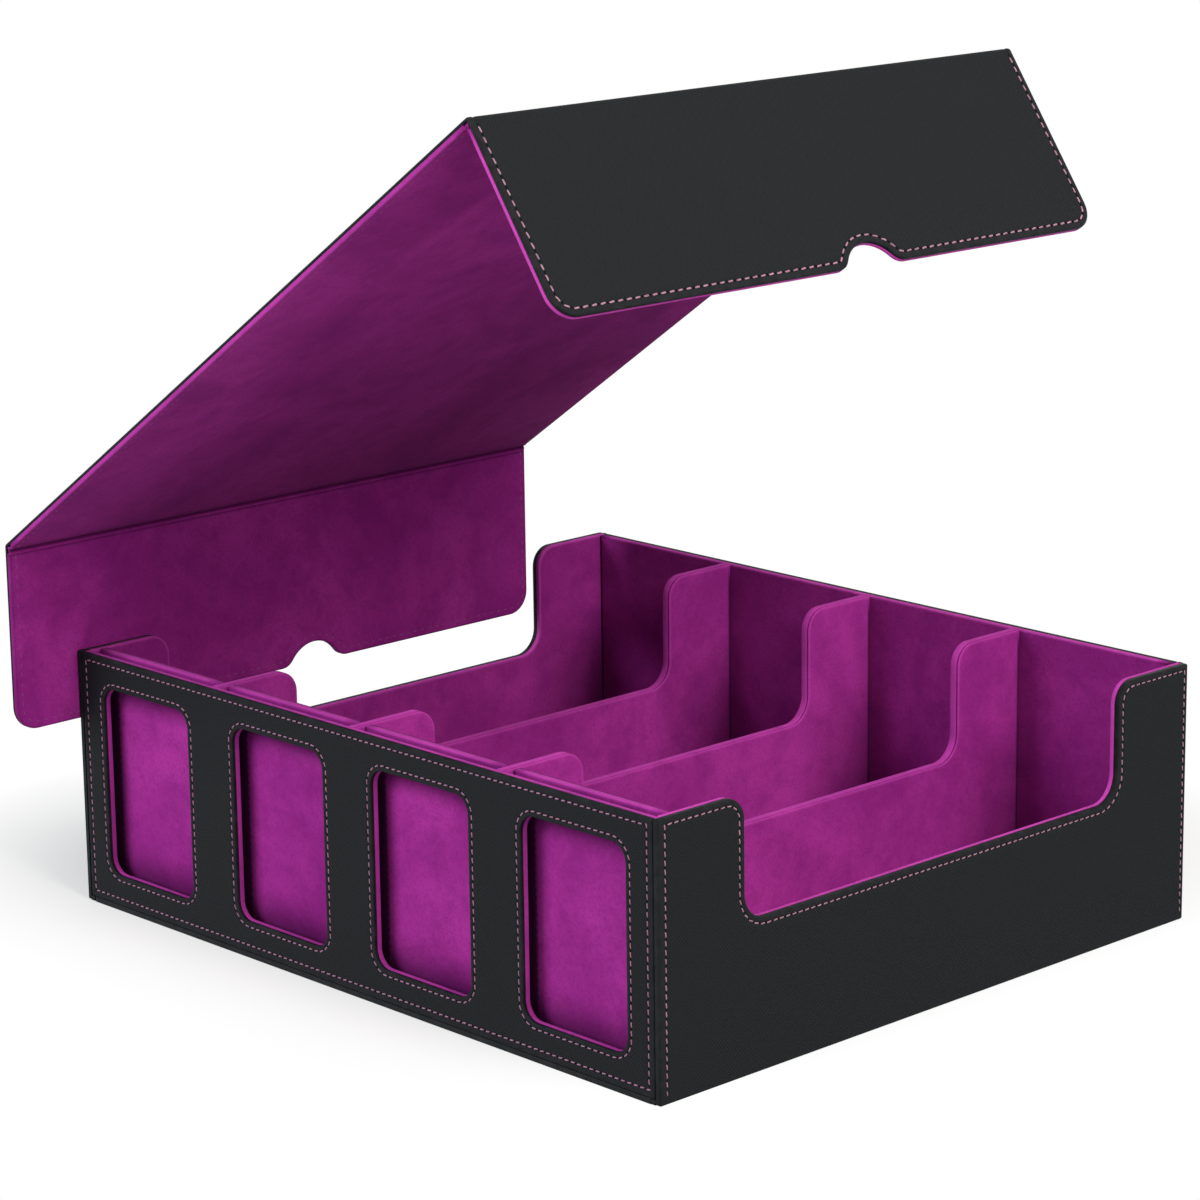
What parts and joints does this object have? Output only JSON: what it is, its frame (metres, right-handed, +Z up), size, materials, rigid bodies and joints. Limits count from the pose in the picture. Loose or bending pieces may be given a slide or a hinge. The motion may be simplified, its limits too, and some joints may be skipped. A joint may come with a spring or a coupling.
{
  "type": "trading card storage box",
  "caption": "Leather-covered card storage box with open suede-lined rows, a window and card slot at the front of each, scooped walls and a lift-off folding lid.",
  "frame": {"origin": "middle of the underside of the box, on the surface that it stands on", "axes": "+X to the right along the windowed front, +Y from the front to the back, +Z up"},
  "size_m": [0.3436, 0.3255, 0.3508],
  "materials": {
    "leather": "fine cross-grain, satin",
    "suede": "short nap",
    "board": "grey board",
    "magnet": "plated"
  },
  "bodies": {
    "box": {"base_board": "board", "base_cover": "leather", "floor_lining": "suede", "left_wall_cover": "leather", "left_wall_board": "board", "left_wall_lining": "suede", "left_wall_magnets": "magnet", "right_wall_cover": "leather", "right_wall_board": "board", "right_wall_lining": "suede", "right_wall_magnets": "magnet", "back_wall_cover": "leather", "back_wall_board": "board", "back_wall_lining": "suede", "front_fascia_cover": "leather", "front_fascia_board": "board", "front_fascia_lining": "suede", "divider_1_sleeve": "suede", "divider_1_board": "board", "divider_2_sleeve": "suede", "divider_2_board": "board", "divider_3_sleeve": "suede", "divider_3_board": "board", "row_1_front_sleeve": "suede", "row_1_front_board": "board", "row_2_front_sleeve": "suede", "row_2_front_board": "board", "row_3_front_sleeve": "suede", "row_3_front_board": "board", "row_4_front_sleeve": "suede", "row_4_front_board": "board"},
    "left_flap": {"left_flap_cover": "leather", "left_flap_board": "board", "left_flap_lining": "suede", "left_flap_magnets": "magnet", "left_fold_strip": "leather"},
    "lid_top": {"lid_top_cover": "leather", "lid_top_board": "board", "lid_top_lining": "suede", "right_fold_strip": "leather"},
    "right_flap": {"right_flap_cover": "leather", "right_flap_board": "board", "right_flap_lining": "suede", "right_flap_magnets": "magnet"}
  },
  "joints": [
    {"name": "lid_lift", "type": "slide", "parent": "box", "child": "left_flap", "axis": [0, -0.6369, 0.771], "range_m": [-0.05967, 0.06]},
    {"name": "left_fold", "type": "hinge", "parent": "left_flap", "child": "lid_top", "pos_m": [-0.172, -0.038, 0.1549], "axis": [0, -1, 0], "range_deg": [-34.4, 55.6]},
    {"name": "right_fold", "type": "hinge", "parent": "lid_top", "child": "right_flap", "pos_m": [0.11184, -0.038, 0.34925], "axis": [0, -1, 0], "range_deg": [0, 90]}
  ]
}
